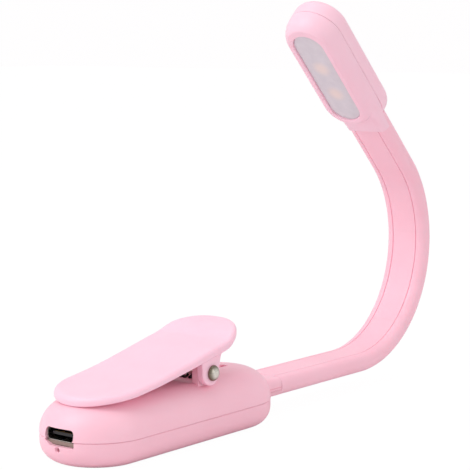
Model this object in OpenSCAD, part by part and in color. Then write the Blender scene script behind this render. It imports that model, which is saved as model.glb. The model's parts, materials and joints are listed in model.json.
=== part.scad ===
// Clip-on reading lamp: a spring clip base with a rechargeable cell, a flat bendable
// neck and a small pill-shaped lamp head.
// Frame: origin at the centre of the base's flat underside, X along the base towards
// the neck, Y across it, Z up. All sizes in millimetres.

/* [Base] */
// Length of the base along X
base_l = 75; // [73:0.2:78]
// Width of the base along Y
base_w = 28.6; // [28:0.1:30]
// Height of the base
base_h = 15.2; // [14.8:0.1:15.4]
// Height of the seam between the two casing halves
seam_z = 6.9; // [6.6:0.1:7.1]
// Rounding of the lower edge
bottom_r = 5; // [4.6:0.1:5.4]
// Rounding of the upper shoulder
shoulder_r = 8.2; // [7:0.1:8.2]
// Wall thickness of the base casing
wall = 1.4; // [1.2:0.1:1.6]

/* [Clip] */
// Distance of the hinge pin behind the base's centre
pin_x = 6.7; // [6:0.1:7.5]
// Height of the hinge pin
pin_z = 17.8; // [17.6:0.1:18]
// Radius of the hinge pin
pin_r = 1.2; // [1:0.05:1.3]
// Diameter of the pin's domed heads
pin_head_d = 4.1; // [3.6:0.1:4.4]
// Width of the clip plate
clip_w = 24.8; // [24:0.1:25.4]
// Thickness of the clip plate at its tip
clip_t = 1.5; // [1.3:0.1:1.8]

/* [Neck] */
// Width of the flat neck
neck_w = 13.6; // [13:0.1:14.2]
// Thickness of the flat neck
neck_t = 5.3; // [4.8:0.1:5.4]
// Height of the neck's middle plane where it leaves the base
neck_z = 7.5; // [7.3:0.1:7.7]
// Place along X where the neck starts to curve up
bend_x = 83.4; // [80:0.1:86]
// Radius of the curve at the neck's middle plane
bend_r = 33.2; // [31:0.1:35]
// Angle that one link of the curved stretch spans
link_angle = 27; // [25:0.2:28]

/* [Head] */
// Length of the lamp head
head_l = 44.6; // [44:0.2:46]
// Width of the lamp head
head_w = 16.8; // [16.4:0.1:17.4]
// Depth of the head in front of the neck's middle plane
head_front = 6.1; // [5.9:0.1:6.3]
// Depth of the head behind the neck's middle plane
head_back = 5.8; // [5.7:0.1:6.3]
// Length of the light window
lens_l = 34; // [33:0.2:34.6]
// Width of the light window
lens_w = 9.8; // [9.4:0.1:10]

/* [Hidden] */
$fn = 64;
eps = 0.01;

// base
end_x = (base_l - base_w) / 2;
gap = 0.15;
lip_t = 0.7;
lip_h = 1.2;
seam_gap = 0.06;
screw_x = [-16.5, 25.5];
screw_y = 8;
screw_r = 0.95;
screw_head_r = 1.8;
screw_top = 10.6;
boss_r = 2.3;
recess_z = 2.2;

// charging port, to the standard receptacle's sizes
port_w = 8.94;
port_h = 3.26;
port_wall = 0.3;
port_l = 7.3;
port_x = -base_l / 2 + 1.4;
port_z = seam_z + 1.27;
board_t = 0.95;
board_z = port_z - port_h / 2 - board_t;
board_end_x = -19.5;
pipe_z = board_z - 0.95;
pipe_r = 0.5;

// cell
cell = [35, 21.6, 7.6];
cell_x = -12.8;
cell_z = wall + 0.9;

// hinge
ear_in = 9.9;
ear_out = 12;
ear_r = 3.2;
lug_in = 7.3;
lug_out = 9.6;
lug_r = 3.1;
pin_fit = 0.06;
pocket_depth = 1;
spring_r = 2.1;
spring_wire = 0.35;
spring_turns = 6;
spring_half = 4.2;

// clip plate's side view: place along X, height of its underside, and how much thicker than
// the tip it is there, front to rear
clip_line = [
    [-33, 15.1, 0.2], [-29, 15.6, 0.2], [-13, 17.9, 0.1], [12.5, 22.9, 0.8], [17.5, 25.2, 0.6],
    [23.4, 26.8, 0.5]];
clip_front_r = clip_w / 2;
clip_rear_r = 11.5;

// neck: its root inside the base, and the round face that the head twists on
root_x = 28.5;
flange_t = 2.3;
swivel_r = 2.1;
pitch = bend_r * link_angle * PI / 180;
arc_turn = 5 * link_angle;
arc_l = 5 * pitch;
twist_s = arc_l + 0.15;
head_s = arc_l + 19.2;
collar_x = 43;
joint_s = concat([for (k = [-2:4]) k * pitch], [twist_s]);
link_gap = 0.3;
edge_r = 1.9;
core_w = 10.4;
core_t = 2.1;
strut_y = 4;
strut_r = 0.9;
lead_y = 0.75;
lead_r = 0.5;

// head
head_wall = 1.2;
collar_rise = 4.3;
lens_x = head_l / 2 + 1.1;
led_board_z = 0.45;
head_seam = 0.2;
front_r = 3.4;
back_r = 3.2;
lens_drop = 0.5;
lens_t = 1.1;
button_r = 3;
button_u = 8;
button_gap = 0.25;

// ---------------------------------------------------------------- shared shapes

// Half of a round block's section: flat below and above, with two edge radii
module half_section(r, h, low_r, high_r) {
    intersection() {
        square([r, h]);
        union() {
            square([r - low_r, h - high_r]);
            translate([0, low_r]) square([r, h - low_r - high_r]);
            translate([0, low_r]) square([r - high_r, h - low_r]);
            translate([r - low_r, low_r]) circle(low_r);
            translate([r - high_r, h - high_r]) circle(high_r);
        }
    }
}

// A block with round ends along X, rounded along its lower and upper edges
module pill(l, w, h, low_r, high_r) {
    r = w / 2;
    a = l / 2 - r;
    for (side = [-1, 1])
        translate([side * a, 0, 0])
            rotate([0, 0, side * 90 - 180])
                rotate_extrude(angle = 180) half_section(r, h, low_r, high_r);
    along_x(-a, a) {
        half_section(r, h, low_r, high_r);
        mirror([1, 0]) half_section(r, h, low_r, high_r);
    }
}

// A flat outline with round ends
module slot(l, w) {
    square([l - w, w], center = true);
    for (side = [-1, 1]) translate([side * (l - w) / 2, 0]) circle(w / 2);
}

// A rounded rectangle, centred
module soft_rect(l, w, r) {
    square([l - 2 * r, w], center = true);
    square([l, w - 2 * r], center = true);
    for (x = [-1, 1], y = [-1, 1])
        translate([x * (l / 2 - r), y * (w / 2 - r)]) circle(r);
}

// Extrudes an outline drawn in Y and Z along X
module along_x(from, to) {
    translate([from, 0, 0]) rotate([90, 0, 90]) linear_extrude(to - from) children();
}

// One round tube swept along a list of points
module tube(points, r, sides = 8) {
    n = len(points);
    dirs = [for (i = [0:n - 1])
        let (d = points[min(i + 1, n - 1)] - points[max(i - 1, 0)]) d / norm(d)];
    rings = [for (i = [0:n - 1])
        let (
            d = dirs[i],
            up = abs(d[2]) > 0.9 ? [1, 0, 0] : [0, 0, 1],
            side_raw = cross(d, up),
            side = side_raw / norm(side_raw),
            top = cross(side, d)
        )
        for (j = [0:sides - 1])
            points[i] + r * (cos(j * 360 / sides) * side + sin(j * 360 / sides) * top)];
    skin = [for (i = [0:n - 2], j = [0:sides - 1])
        let (k = (j + 1) % sides)
        [i * sides + j, i * sides + k, (i + 1) * sides + k, (i + 1) * sides + j]];
    polyhedron(rings, concat(
        skin,
        [[for (j = [sides - 1:-1:0]) j]],
        [[for (j = [0:sides - 1]) (n - 1) * sides + j]]));
}

// ---------------------------------------------------------------- base

module base_outer() {
    pill(base_l, base_w, base_h, bottom_r, shoulder_r);
}

module base_inner(inset) {
    translate([0, 0, inset])
        pill(base_l - 2 * inset, base_w - 2 * inset, base_h - 2 * inset,
             bottom_r - inset, shoulder_r - inset);
}

module layer(from, to) {
    translate([-base_l, -base_w, from]) cube([2 * base_l, 2 * base_w, to - from]);
}

module screw_places() {
    for (x = screw_x, y = [-screw_y, screw_y]) translate([x, y, 0]) children();
}

module port_window() {
    along_x(-base_l / 2 - 1, port_x + 4) translate([0, port_z]) slot(port_w + 0.7, port_h + 0.5);
    along_x(-base_l / 2 - 1, port_x + 4)
        translate([0, board_z + board_t / 2]) square([port_w + 0.5, board_t + 0.3], center = true);
}

module neck_window() {
    along_x(base_l / 2 - 6, base_l / 2 + 1)
        translate([0, neck_z]) soft_rect(neck_w + 0.6, neck_t + 0.8, edge_r);
}

module base_lower_casing() {
    color([0.91, 0.71, 0.76]) difference() {
        union() {
            intersection() {
                difference() {
                    base_outer();
                    base_inner(wall);
                }
                layer(0, seam_z - seam_gap);
            }
            intersection() {
                difference() {
                    base_inner(wall + gap);
                    base_inner(wall + gap + lip_t);
                }
                layer(seam_z - 1.1, seam_z + lip_h);
            }
            intersection() {
                difference() {
                    base_inner(wall - eps);
                    base_inner(wall + gap + lip_t);
                }
                layer(seam_z - 1.6, seam_z - 0.4);
            }
            screw_places() cylinder(h = seam_z - 0.5, r = boss_r);
        }
        screw_places() {
            translate([0, 0, -1]) cylinder(h = recess_z + 1, r = screw_head_r + 0.2);
            cylinder(h = seam_z, r = screw_r + 0.15);
        }
        port_window();
        neck_window();
        translate([port_x - 2, 0, pipe_z]) rotate([0, 90, 0]) cylinder(h = 6, r = pipe_r + 0.05);
    }
}

module hinge_lugs() {
    for (side = [-1, 1])
        translate([pin_x, side * (lug_in + lug_out) / 2, 0]) rotate([90, 0, 0])
            linear_extrude(lug_out - lug_in, center = true) {
                translate([0, pin_z]) circle(lug_r);
                translate([-lug_r - 0.5, base_h - 3]) square([2 * lug_r + 0.5, pin_z - base_h + 3]);
            }
}

module base_upper_casing() {
    color([0.95, 0.75, 0.80]) difference() {
        union() {
            intersection() {
                difference() {
                    base_outer();
                    base_inner(wall);
                }
                layer(seam_z, base_h);
            }
            hinge_lugs();
            translate([pin_x - 6, -lug_out, base_h - 3.2]) cube([12, 2 * lug_out, 2.4]);
            screw_places() translate([0, 0, seam_z + 0.1])
                cylinder(h = base_h - seam_z - wall, r = boss_r);
        }
        translate([pin_x - 4.5, -lug_in + 0.4, base_h - pocket_depth])
            cube([9, 2 * lug_in - 0.8, 2]);
        translate([pin_x, -base_w / 2, pin_z]) rotate([-90, 0, 0])
            cylinder(h = base_w, r = pin_r + pin_fit);
        screw_places() cylinder(h = screw_top + 0.4, r = screw_r + 0.03);
        port_window();
        neck_window();
    }
}

module casing_screws() {
    color([0.72, 0.72, 0.74]) screw_places() difference() {
        union() {
            translate([0, 0, 0.8]) cylinder(h = recess_z - 0.85, r = screw_head_r);
            translate([0, 0, recess_z - 0.1]) cylinder(h = screw_top - recess_z, r = screw_r);
        }
        for (a = [0, 90]) rotate([0, 0, a]) translate([-1, -0.2, 0]) cube([2, 0.4, 1.3]);
    }
}

module battery_cell() {
    color([0.80, 0.82, 0.85]) translate([cell_x, 0, cell_z]) {
        translate([0, 0, cell[2] / 2]) along_x(0, cell[0]) soft_rect(cell[1], cell[2], 1.2);
        translate([-1.2, -cell[1] / 2 + 3, cell[2] / 2 - 0.4]) cube([1.3, cell[1] - 6, 0.8]);
    }
}

module battery_pad() {
    color([0.2, 0.2, 0.2]) translate([cell_x + 5, -7, cell_z + cell[2] + 0.05]) cube([25, 14, 1.2]);
}

module battery_leads() {
    color([0.75, 0.1, 0.1])
        for (y = [3.4, 5])
            tube([[board_end_x - 0.8, y, board_z + board_t + 0.5],
                  [board_end_x + 2, y, board_z + board_t + 0.6],
                  [board_end_x + 4, y - 0.6, board_z + board_t + 0.4],
                  [cell_x - 1.3, y - 0.8, cell_z + cell[2] / 2 + 0.2]], 0.4);
}

module charge_board() {
    color([0.12, 0.30, 0.16]) intersection() {
        translate([port_x + 0.1, -9, board_z]) cube([board_end_x - port_x - 0.1, 18, board_t]);
        translate([-end_x, 0, board_z]) cylinder(h = board_t, r = base_w / 2 - 0.55);
        union() {
            translate([-end_x, 0, board_z]) cylinder(h = board_t, r = base_w / 2 - wall - 1.1);
            translate([port_x, -port_w / 2, board_z]) cube([4, port_w, board_t]);
        }
    }
}

module board_components() {
    top = board_z + board_t + 0.02;
    color([0.1, 0.1, 0.1]) {
        translate([-27.2, -4.6, top]) cube([3.9, 3.9, 1.2]);
        translate([-26.6, 1.2, top]) cube([2.9, 2.8, 1.0]);
        translate([-21.8, -6, top]) cube([1.2, 2, 0.6]);
        for (y = [-1.5, 0.5, 2.5]) translate([-22, y, top]) cube([1.6, 0.8, 0.5]);
    }
}

module usb_c_shell() {
    color([0.78, 0.78, 0.80]) difference() {
        along_x(port_x, port_x + port_l) translate([0, port_z]) slot(port_w, port_h);
        along_x(port_x - 1, port_x + port_l - 0.3) translate([0, port_z])
            slot(port_w - 2 * port_wall, port_h - 2 * port_wall);
    }
}

module usb_c_tongue() {
    inner_w = port_w - 2 * port_wall - 0.06;
    inner_h = port_h - 2 * port_wall - 0.06;
    color([0.08, 0.08, 0.09]) {
        along_x(port_x + 5.2, port_x + port_l - 0.35) translate([0, port_z]) slot(inner_w, inner_h);
        translate([port_x + 0.9, -3.35, port_z - 0.35]) cube([4.4, 6.7, 0.7]);
    }
}

module charge_led() {
    color([0.95, 0.9, 0.85]) translate([port_x + 3.3, -0.8, board_z - 0.62]) cube([1, 1.6, 0.6]);
}

module indicator_light_pipe() {
    color([0.6, 0.12, 0.12]) translate([port_x + 0.5, 0, pipe_z]) rotate([0, 90, 0])
        cylinder(h = 2.7, r = pipe_r);
}

module neck_collar() {
    color([0.93, 0.72, 0.77]) difference() {
        translate([0, 0, neck_z]) union() {
            along_x(root_x, collar_x) soft_rect(neck_w, neck_t + 0.2, edge_r);
            along_x(root_x, root_x + flange_t) square([neck_w + 3, neck_t + 2.1], center = true);
        }
        along_x(root_x - 1, collar_x + 1)
            translate([0, neck_z]) square([core_w, core_t], center = true);
    }
}

module wire_crimp_bar() {
    color([0.75, 0.75, 0.77]) difference() {
        translate([24.2, -5.3, neck_z - 1.9]) cube([3.8, 10.6, 3.8]);
        for (y = [-strut_y, strut_y])
            translate([24, y, neck_z]) rotate([0, 90, 0]) cylinder(h = 5, r = strut_r + 0.03);
        along_x(24, 29) translate([0, neck_z]) square([4, 1.6], center = true);
    }
}

module base_lamp_leads() {
    z = cell_z + cell[2] + 1.2;
    color([0.85, 0.85, 0.85])
        for (y = [-lead_y, lead_y])
            tube([[23.4, y, neck_z + 0.3], [22.9 - y / 4, y + 0.3, z - 0.7], [21.6 - 2 * y, y + 2, z],
                  [18 - 2 * y, y + 8.3, z + 0.1], [10, y + 8.7, z + 0.1],
                  [-9 - 1.4 * y, y + 8.7, z], [-12.5 - 1.4 * y, y + 4, z],
                  [-19, y + 2, z - 1.9], [-19.9, y + 1.6, board_z + board_t + 0.1]], 0.42);
}

// ---------------------------------------------------------------- clip

// The spring's wire: leg on the base, turns round the pin, leg under the clip plate
function spring_points() = concat(
    [[pin_x + 9, -spring_half, base_h + spring_wire + 0.1],
     [pin_x + 5, -spring_half, base_h + spring_wire + 0.1]],
    [for (a = [-90:30:spring_turns * 360 + 90])
        [pin_x + spring_r * cos(a), -spring_half + 2 * spring_half * (a + 90)
         / (spring_turns * 360 + 180), pin_z + spring_r * sin(a)]],
    [[pin_x + 4, spring_half, pin_z + 3.3], [pin_x + 6.5, spring_half, pin_z + 4.2]]);

module torsion_spring() {
    color([0.2, 0.2, 0.21]) tube(spring_points(), spring_wire);
}

function clip_height(x) = lookup(x, [for (p = clip_line) [p[0], p[1]]]);

module clip_side() {
    n = len(clip_line);
    polygon(concat(
        [for (p = clip_line) [p[0], p[1]]],
        [for (i = [n - 1:-1:0]) [clip_line[i][0], clip_line[i][1] + clip_t + clip_line[i][2]]]));
}

module clip_plan() {
    front = clip_line[0][0];
    rear = clip_line[len(clip_line) - 1][0];
    translate([front + clip_front_r, 0]) circle(clip_front_r);
    translate([front + clip_front_r, -clip_w / 2])
        square([rear - front - clip_front_r - clip_rear_r, clip_w]);
    for (side = [-1, 1])
        translate([rear - clip_rear_r, side * (clip_w / 2 - clip_rear_r)]) circle(clip_rear_r);
    translate([rear - clip_rear_r - eps, -clip_w / 2 + clip_rear_r])
        square([clip_rear_r + eps, clip_w - 2 * clip_rear_r]);
}

module clip_ear(side) {
    translate([0, side * (ear_in + ear_out) / 2, 0]) rotate([90, 0, 0])
        linear_extrude(ear_out - ear_in, center = true) {
            translate([pin_x - 0.3, pin_z]) circle(ear_r);
            polygon([[pin_x - 0.3 - ear_r, pin_z], [pin_x - 0.3 + ear_r, pin_z],
                     [pin_x + 0.6 + ear_r, clip_height(pin_x + ear_r) + 0.6],
                     [pin_x - 1 - ear_r, clip_height(pin_x - ear_r) + 0.6]]);
        }
}

module clip_lever() {
    color([0.99, 0.83, 0.89]) difference() {
        union() {
            intersection() {
                rotate([90, 0, 0]) linear_extrude(base_w, center = true) clip_side();
                linear_extrude(2 * pin_z) clip_plan();
            }
            for (side = [-1, 1]) clip_ear(side);
        }
        translate([pin_x, -base_w / 2, pin_z]) rotate([-90, 0, 0])
            cylinder(h = base_w, r = pin_r + 0.02);
    }
}

module jaw_pad() {
    from = -25;
    to = -15;
    low = base_h + 0.12;
    color([0.85, 0.6, 0.66]) rotate([90, 0, 0]) linear_extrude(15, center = true)
        polygon([[from, low], [to, low], [to, clip_height(to) - 0.03],
                 [from, clip_height(from) - 0.03]]);
}

module hinge_pin() {
    color([0.70, 0.69, 0.65]) translate([pin_x, 0, pin_z]) rotate([90, 0, 0]) {
        cylinder(h = 2 * ear_out + 0.1, r = pin_r, center = true);
        for (side = [-1, 1]) scale([1, 1, side]) translate([0, 0, ear_out + 0.05])
            intersection() {
                dome_r = pin_head_d / 2;
                translate([0, 0, -0.9]) sphere(sqrt(dome_r * dome_r + 0.81));
                cylinder(h = 3, r = dome_r + 1);
            }
    }
}

// ---------------------------------------------------------------- neck

// Puts its children on the neck's centre line: X along the neck, Z to its inner face
module at_neck(s) {
    turn = max(0, min(arc_turn, s / pitch * link_angle));
    before = min(s, 0);
    after = max(s - arc_l, 0);
    translate([bend_x + bend_r * sin(turn), 0, neck_z + bend_r * (1 - cos(turn))])
        rotate([0, -turn, 0]) translate([before + after, 0, 0]) children();
}

// Extrudes a neck section, drawn as depth and width, along the centre line
module run(from, to) {
    straight_to = min(to, 0);
    if (from < 0) at_neck(from) rotate([0, 90, 0]) linear_extrude(straight_to - from) children();
    a = max(from, 0);
    b = min(to, arc_l);
    if (b > a) at_neck(a) translate([0, 0, bend_r]) rotate([90, 0, 0]) rotate([0, 0, -90])
        rotate_extrude(angle = (b - a) / pitch * link_angle) translate([bend_r, 0]) children();
    c = max(from, arc_l);
    if (to > c) at_neck(c) rotate([0, 90, 0]) linear_extrude(to - c) children();
}

module sleeve_section() {
    soft_rect(neck_t, neck_w, edge_r);
}

// The round end of a link, about the axis of the joint that it meets
module knuckle(s) {
    at_neck(s) rotate([90, 0, 0])
        cylinder(h = neck_w - 2 * edge_r - 0.5, r = neck_t / 2 - 0.2, center = true);
}

// The round face that the head twists on, which stands out from the last sleeve's end
module swivel_face() {
    at_neck(twist_s) rotate([0, 90, 0]) cylinder(h = link_gap, r = swivel_r);
}

function sleeve_start(k) = k == 0 ? collar_x - bend_x + 0.05
    : k == 8 ? twist_s + link_gap / 2 : joint_s[k - 1];
function sleeve_end(k) = k == 7 ? twist_s - link_gap / 2 : k == 8 ? head_s + 3 : joint_s[k];

module neck_sleeve(k) {
    from = sleeve_start(k);
    to = sleeve_end(k);
    round_end = k < 7;
    round_start = k > 0 && k < 8;
    in_bend = k > 2 && k < 7;
    color([0.98, 0.77, 0.83]) difference() {
        union() {
            run(from, to) sleeve_section();
            if (round_end) knuckle(to);
            if (k == 8) swivel_face();
        }
        if (round_start) at_neck(from) rotate([90, 0, 0])
            cylinder(h = neck_w + 2, r = neck_t / 2 + link_gap, center = true);
        run(from - (k == 0 || k == 8 ? link_gap : 0), to + (in_bend ? neck_t : k == 8 ? 1 : 0))
            square([core_t, core_w], center = true);
        if (k < 8 && !in_bend) at_neck(to) rotate([0, 90, 0])
            linear_extrude(neck_t) square([core_t, core_w], center = true);
    }
}

function core_start(k) = k == 0 ? 24.5 - bend_x : sleeve_start(k) + (k == 8 ? 0 : neck_t / 2 + 0.6);
function core_end(k) = k == 8 ? head_s + 7.5 : k == 7 ? sleeve_end(k) : sleeve_end(k) + 0.8;

module neck_wires(k) {
    color([0.78, 0.78, 0.80]) run(core_start(k), core_end(k))
        for (y = [-strut_y, strut_y]) translate([0, y]) circle(strut_r);
}

module lead_pair() {
    for (y = [-lead_y, lead_y]) translate([0, y]) circle(lead_r);
}

module neck_leads(k) {
    color([0.85, 0.85, 0.85])
        run(core_start(k), core_end(k)) lead_pair();
}

// ---------------------------------------------------------------- head

// Head frame: X along the head from its neck end, Z towards the lit face
module in_head() {
    at_neck(head_s) children();
}

module head_block(inset) {
    translate([head_l / 2, 0, -head_back + inset])
        pill(head_l - 2 * inset, head_w - 2 * inset, head_front + head_back - 2 * inset,
             back_r - inset, front_r - inset);
}

module head_layer(from, to) {
    translate([-head_l, -head_w, from]) cube([3 * head_l, 2 * head_w, to - from]);
}

module head_neck_socket() {
    along_x(-6, 4.2) soft_rect(neck_w + 0.3, neck_t + 0.3, edge_r);
    along_x(4, 5.4) square([core_w, core_t], center = true);
}

module head_front_bezel() {
    color([0.97, 0.79, 0.86]) in_head() difference() {
        union() {
            intersection() {
                head_block(0);
                head_layer(head_seam, head_front);
            }
            intersection() {
                along_x(-1.1, 6) soft_rect(neck_w - 2.4, 2 * collar_rise, 3);
                head_layer(head_seam, head_front);
            }
        }
        difference() {
            head_block(head_wall);
            intersection() {
                along_x(-2, 4.9) square([head_w, 2 * head_front], center = true);
                head_layer(head_seam, head_front);
            }
        }
        head_neck_socket();
        translate([lens_x, 0, 0]) linear_extrude(head_front + 1) slot(lens_l + 0.2, lens_w + 0.2);
    }
}

module head_rear_shell() {
    color([0.95, 0.76, 0.83]) in_head() difference() {
        intersection() {
            head_block(0);
            head_layer(-head_back, head_seam - 0.06);
        }
        difference() {
            head_block(head_wall);
            along_x(-2, 4.9) square([head_w, 2 * head_back], center = true);
        }
        head_neck_socket();
        translate([head_l / 2 + button_u, 0, -head_back - 1])
            cylinder(h = head_wall + 2, r = button_r + button_gap);
    }
}

module diffuser_lens() {
    top = head_front - lens_drop;
    color([0.83, 0.80, 0.82]) in_head() translate([lens_x, 0, 0]) {
        translate([0, 0, top - lens_t]) linear_extrude(lens_t) slot(lens_l, lens_w);
        translate([0, 0, top - lens_t - 0.6]) linear_extrude(0.6 + eps) slot(lens_l + 1.6, lens_w + 1.6);
    }
}

module reflector_tray() {
    low = led_board_z + 1.05;
    color([0.95, 0.95, 0.95]) in_head() translate([lens_x, 0, low]) difference() {
        linear_extrude(head_front - lens_drop - lens_t - 0.65 - low) slot(lens_l + 0.6, lens_w + 1);
        translate([0, 0, -1]) linear_extrude(head_front) slot(lens_l - 1.4, lens_w - 1);
    }
}

module led_board() {
    color([0.93, 0.93, 0.92]) in_head() translate([lens_x + 0.3, 0, led_board_z])
        linear_extrude(1) slot(lens_l - 2, lens_w + 1.2);
}

module led_chips() {
    color([0.98, 0.85, 0.55]) in_head()
        for (side = [-1, 1]) translate([head_l / 2 + side * 5.1, 0, led_board_z + 1.37])
            cube([2.8, 3.5, 0.7], center = true);
}

module tactile_switch() {
    color([0.15, 0.15, 0.15]) in_head() translate([head_l / 2 + button_u, 0, led_board_z - 0.02]) {
        translate([-2.6, -2.6, -1.5]) cube([5.2, 5.2, 1.5]);
        translate([0, 0, -2]) cylinder(h = 0.6, r = 1.2);
    }
}

module head_crimp_bar() {
    color([0.75, 0.75, 0.77]) in_head() difference() {
        translate([5.4, -5.6, -2.2]) cube([2, 11.2, 3.4]);
        for (y = [-strut_y, strut_y])
            translate([0, y, 0]) rotate([0, 90, 0]) cylinder(h = 12, r = strut_r + 0.03);
        along_x(0, 12) square([4, 1.6], center = true);
    }
}

module power_button() {
    color([0.96, 0.76, 0.83]) in_head() translate([head_l / 2 + button_u, 0, 0]) {
        translate([0, 0, -head_back + 0.05]) cylinder(h = 1.1, r = button_r);
        translate([0, 0, -head_back + 0.3])
            cylinder(h = head_back - 0.3 + led_board_z - 2.02 - 0.45, r = 1.4);
    }
}

// ---------------------------------------------------------------- nodes

base_lower_casing();
base_upper_casing();
casing_screws();
battery_cell();
battery_pad();
battery_leads();
charge_board();
board_components();
usb_c_shell();
usb_c_tongue();
charge_led();
indicator_light_pipe();
neck_collar();
wire_crimp_bar();
base_lamp_leads();
torsion_spring();
clip_lever();
jaw_pad();
hinge_pin();
for (k = [0:8]) {
    neck_sleeve(k);
    neck_wires(k);
    neck_leads(k);
}
head_front_bezel();
head_rear_shell();
diffuser_lens();
reflector_tray();
led_board();
led_chips();
tactile_switch();
head_crimp_bar();
power_button();
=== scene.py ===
import json
import math

import bmesh
import bpy
import numpy as np
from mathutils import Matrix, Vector


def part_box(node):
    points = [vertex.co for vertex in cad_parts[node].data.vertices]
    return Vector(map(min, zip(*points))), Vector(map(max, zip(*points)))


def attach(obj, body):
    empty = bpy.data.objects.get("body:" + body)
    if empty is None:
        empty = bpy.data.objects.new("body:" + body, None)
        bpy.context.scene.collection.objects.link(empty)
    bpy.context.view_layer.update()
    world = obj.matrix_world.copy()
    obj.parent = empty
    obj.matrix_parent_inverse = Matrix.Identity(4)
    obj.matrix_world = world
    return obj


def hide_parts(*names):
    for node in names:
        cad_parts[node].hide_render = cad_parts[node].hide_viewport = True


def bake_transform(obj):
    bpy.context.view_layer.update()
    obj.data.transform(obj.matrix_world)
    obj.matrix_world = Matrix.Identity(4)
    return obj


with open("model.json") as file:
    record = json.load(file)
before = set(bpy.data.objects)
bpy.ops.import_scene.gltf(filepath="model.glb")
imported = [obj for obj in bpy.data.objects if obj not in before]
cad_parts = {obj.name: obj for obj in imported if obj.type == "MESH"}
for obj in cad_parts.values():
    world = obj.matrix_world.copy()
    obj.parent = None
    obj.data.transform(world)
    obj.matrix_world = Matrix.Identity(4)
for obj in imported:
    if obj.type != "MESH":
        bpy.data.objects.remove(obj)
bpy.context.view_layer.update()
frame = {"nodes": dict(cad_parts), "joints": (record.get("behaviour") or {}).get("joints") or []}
nodes = frame["nodes"]
joints = {j["name"]: j for j in frame["joints"]}
MM = 0.001


# ---------------------------------------------------------------- places from the frame, in mm

def node_box(name):
    low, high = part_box(name)
    return np.array(low) / MM, np.array(high) / MM


def joint_at(name):
    return np.array(joints[name]["pos_m"]) / MM


# the base: its top's height is without the lugs, and its edges' radii are at the bottom and the shoulder
lower_low, lower_high = node_box("base_lower_casing")
base_l = lower_high[0] - lower_low[0]
base_w = lower_high[1] - lower_low[1]
base_h = 15.2
front = -base_l / 2
bottom_r, shoulder_r = 5.0, 8.2
wall = 1.4
seam = node_box("base_upper_casing")[0][2]
seam_gap, seam_ease = 0.06, 0.14

# the clip's pin, the plate's ears on it and the base's lugs between them
pin = joint_at("clip_hinge")
pin_x, pin_z = pin[0], pin[2]
ear_in, ear_out, ear_r = 9.9, 12.0, 3.2
lug_in, lug_out, lug_r = 7.3, 9.6, 2.7
pin_r = 1.2

# the charging socket
shell_low, shell_high = node_box("usb_c_shell")
port_z = (shell_low[2] + shell_high[2]) / 2
port_w = shell_high[1] - shell_low[1]
port_h = shell_high[2] - shell_low[2]
pipe_low, pipe_high = node_box("indicator_light_pipe")
board_low = node_box("charge_board")[0]

# the neck: straight, then an arc, then straight again into the head
bend_1, bend_2, bend_3, bend_4 = (joint_at(f"neck_bend_{k}") for k in (1, 2, 3, 4))
pitch = bend_2[0] - bend_1[0]
bend_x, neck_z = bend_3[0], bend_3[2]
rise = bend_4 - bend_3
bend_r = (rise[0] ** 2 + rise[2] ** 2) / (2 * rise[2])
link_angle = 2 * math.atan2(rise[2], rise[0])
arc_turn = 5 * link_angle
arc_l = 5 * pitch
collar_low, collar_high = node_box("neck_collar")
collar_x = collar_high[0]
neck_w, neck_t = 13.6, 5.3
head_s = arc_l + 19.2

# the head: its two faces and its seam are measured from the neck's middle plane
head_l, head_w = 44.6, 16.8
head_front, head_back = 6.1, 5.8
head_seam = 0.2
lens_l, lens_w = 34.0, 9.8
lens_u, button_u = 1.1, 8.0
chip_u = 5.1
bezel_trim = 2.9
lens_top = head_front - 0.5


def on_neck(s):
    """The neck's middle plane at length s: place, direction along and direction to the inner face."""
    turn = max(0.0, min(arc_turn, s / pitch * link_angle))
    along = np.array([math.cos(turn), 0, math.sin(turn)])
    inward = np.array([-math.sin(turn), 0, math.cos(turn)])
    at = np.array([bend_x + bend_r * math.sin(turn), 0, neck_z + bend_r * (1 - math.cos(turn))])
    return at + along * (min(s, 0) + max(s - arc_l, 0)), along, inward


head_at, head_u, head_n = on_neck(head_s)
head_y = np.cross(head_n, head_u)


def in_head(p):
    """Head coordinates (along, across, towards the lit face) to the row frame."""
    return head_at + head_u * p[0] + head_y * p[1] + head_n * p[2]


# ---------------------------------------------------------------- mesh helpers

def new_object(name, bm):
    mesh = bpy.data.meshes.new(name)
    bm.to_mesh(mesh)
    bm.free()
    made = bpy.data.objects.new(name, mesh)
    bpy.context.scene.collection.objects.link(made)
    return made


def ring_area(points):
    total = Vector((0, 0, 0))
    for a, b in zip(points, points[1:] + points[:1]):
        total += (a - points[0]).cross(b - points[0])
    return total.length / 2


def loft(name, rings, wrap=False, place=None):
    """A closed mesh through rings of points, in mm. Its ends are capped unless it wraps."""
    bm = bmesh.new()
    rows = []
    for ring in rings:
        points = [place(p) if place else p for p in ring]
        rows.append([bm.verts.new(Vector(p) * MM) for p in points])
    n = len(rows[0])
    pairs = list(zip(rows, rows[1:]))
    if wrap:
        pairs.append((rows[-1], rows[0]))
    for a, b in pairs:
        for i in range(n):
            j = (i + 1) % n
            bm.faces.new((a[i], a[j], b[j], b[i]))
    if not wrap:
        for row in (rows[0], rows[-1]):
            if ring_area([v.co for v in row]) > 1e-10:
                bm.faces.new(row)
    bmesh.ops.remove_doubles(bm, verts=bm.verts, dist=1e-6)
    bmesh.ops.dissolve_degenerate(bm, edges=bm.edges, dist=1e-6)
    bmesh.ops.recalc_face_normals(bm, faces=bm.faces)
    return new_object(name, bm)


def cut(target, *tools, how="DIFFERENCE"):
    """Joins or cuts target with tools, which are used up."""
    for tool in tools:
        step = target.modifiers.new("step", "BOOLEAN")
        step.object = tool
        step.operation = how
        step.solver = "EXACT"
        apply_modifiers(target)
        bpy.data.objects.remove(tool)
    return target


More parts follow.
